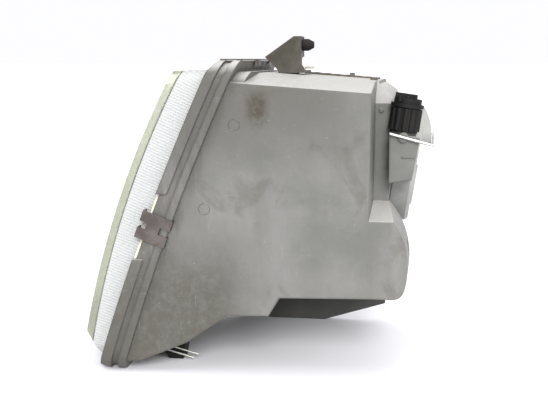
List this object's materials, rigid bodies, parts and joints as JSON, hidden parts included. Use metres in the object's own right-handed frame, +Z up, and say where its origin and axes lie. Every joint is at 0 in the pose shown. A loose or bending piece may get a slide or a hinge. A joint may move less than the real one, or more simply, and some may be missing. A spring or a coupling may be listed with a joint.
{
  "type": "headlight assembly",
  "caption": "Tall van-type headlight: fluted glass lens in a clipped frame, tapered grey housing, tilting reflector with levelling drive, round rear cover with wire bail.",
  "frame": {"origin": "on the floor under the middle of the lamp's outer box, as it stands", "axes": "-X is the way the light goes, +X the rear, +Z up, -Y the near side panel"},
  "size_m": [0.3181, 0.235, 0.3072],
  "materials": {
    "housing_plastic": "grey moulded plastic, scuffed and dusty",
    "lens_glass": "clear fluted pressed glass",
    "seal_cream": "cream butyl seal, aged",
    "clip_steel": "spring steel, dull",
    "bezel_silver": "silver lacquered plastic",
    "reflector_bright": "vacuum metallised",
    "stud_steel": "zinc plated",
    "white_nylon": "natural nylon",
    "bulb_clear": "clear quartz",
    "bulb_metal": "plated sheet metal",
    "filament_metal": "tungsten",
    "spring_wire": "drawn spring wire",
    "black_plastic": "black moulded plastic",
    "cover_plastic": "light grey moulded plastic",
    "black_rubber": "black rubber",
    "bail_wire": "bright zinc wire",
    "amber_glass": "amber glass",
    "bracket_steel": "dark coated steel",
    "screw_steel": "zinc plated",
    "bush_nylon": "light plastic",
    "wire_insulation": "wire insulation"
  },
  "bodies": {
    "housing": {"housing": "housing_plastic", "lens": "lens_glass", "lens_seal": "seal_cream", "lens_clips": "clip_steel", "inner_bezel": "bezel_silver", "ball_studs": "stud_steel", "rear_cover": "cover_plastic", "rear_cover_seal": "black_rubber", "turn_holder_seal": "black_rubber", "levelling_motor": "black_plastic", "small_reflector": "reflector_bright", "small_bulb_holder": "black_plastic", "small_bulb": "bulb_clear", "top_bracket": "bracket_steel", "bracket_screws": "screw_steel", "locating_peg": "black_plastic", "fixing_bush": "bush_nylon", "vent_cap": "black_rubber", "support_foot": "black_plastic", "foot_springs": "spring_wire", "inner_wires": "wire_insulation"},
    "reflector": {"main_reflector": "reflector_bright", "ball_sockets": "white_nylon", "bulb_glass": "bulb_clear", "bulb_base": "bulb_metal", "bulb_filaments": "filament_metal", "bulb_plug": "black_plastic"},
    "bulb_clip": {"bulb_clip": "spring_wire"},
    "levelling_rod": {"levelling_rod": "white_nylon"},
    "trim_knob": {"trim_knob": "white_nylon"},
    "turn_bulb_holder": {"turn_bulb_holder": "black_plastic", "turn_bulb": "amber_glass"},
    "cover_bail": {"cover_bail": "bail_wire"}
  },
  "joints": [
    {"name": "reflector_tilt", "type": "hinge", "parent": "housing", "child": "reflector", "pos_m": [0.01, 0, 0.246], "axis": [0, 1, 0], "range_deg": [-2.5, 2.5]},
    {"name": "bulb_clip_swing", "type": "hinge", "parent": "reflector", "child": "bulb_clip", "pos_m": [0.074, 0.01, 0.214], "axis": [0, -1, 0], "range_deg": [0, 30]},
    {"name": "levelling_rod_slide", "type": "slide", "parent": "housing", "child": "levelling_rod", "axis": [1, 0, 0], "range_m": [-0.0062, 0.0062]},
    {"name": "trim_knob_turn", "type": "hinge", "parent": "housing", "child": "trim_knob", "pos_m": [0.12, -0.06, 0.11], "axis": [1, 0, 0], "range_deg": [-180, 180]},
    {"name": "bulb_holder_twist", "type": "hinge", "parent": "housing", "child": "turn_bulb_holder", "pos_m": [0.129, -0.054, 0.2175], "axis": [0.1392, 0, 0.9903], "range_deg": [0, 90]},
    {"name": "cover_bail_swing", "type": "hinge", "parent": "housing", "child": "cover_bail", "pos_m": [0.13, 0, 0.216], "axis": [0, -1, 0], "range_deg": [0, 45]}
  ],
  "couplings": [
    {"joint": "levelling_rod_slide", "follows": "reflector_tilt", "m_per_rad": -0.136},
    {"joint": "trim_knob_turn", "follows": "reflector_tilt", "ratio": -71.2}
  ]
}
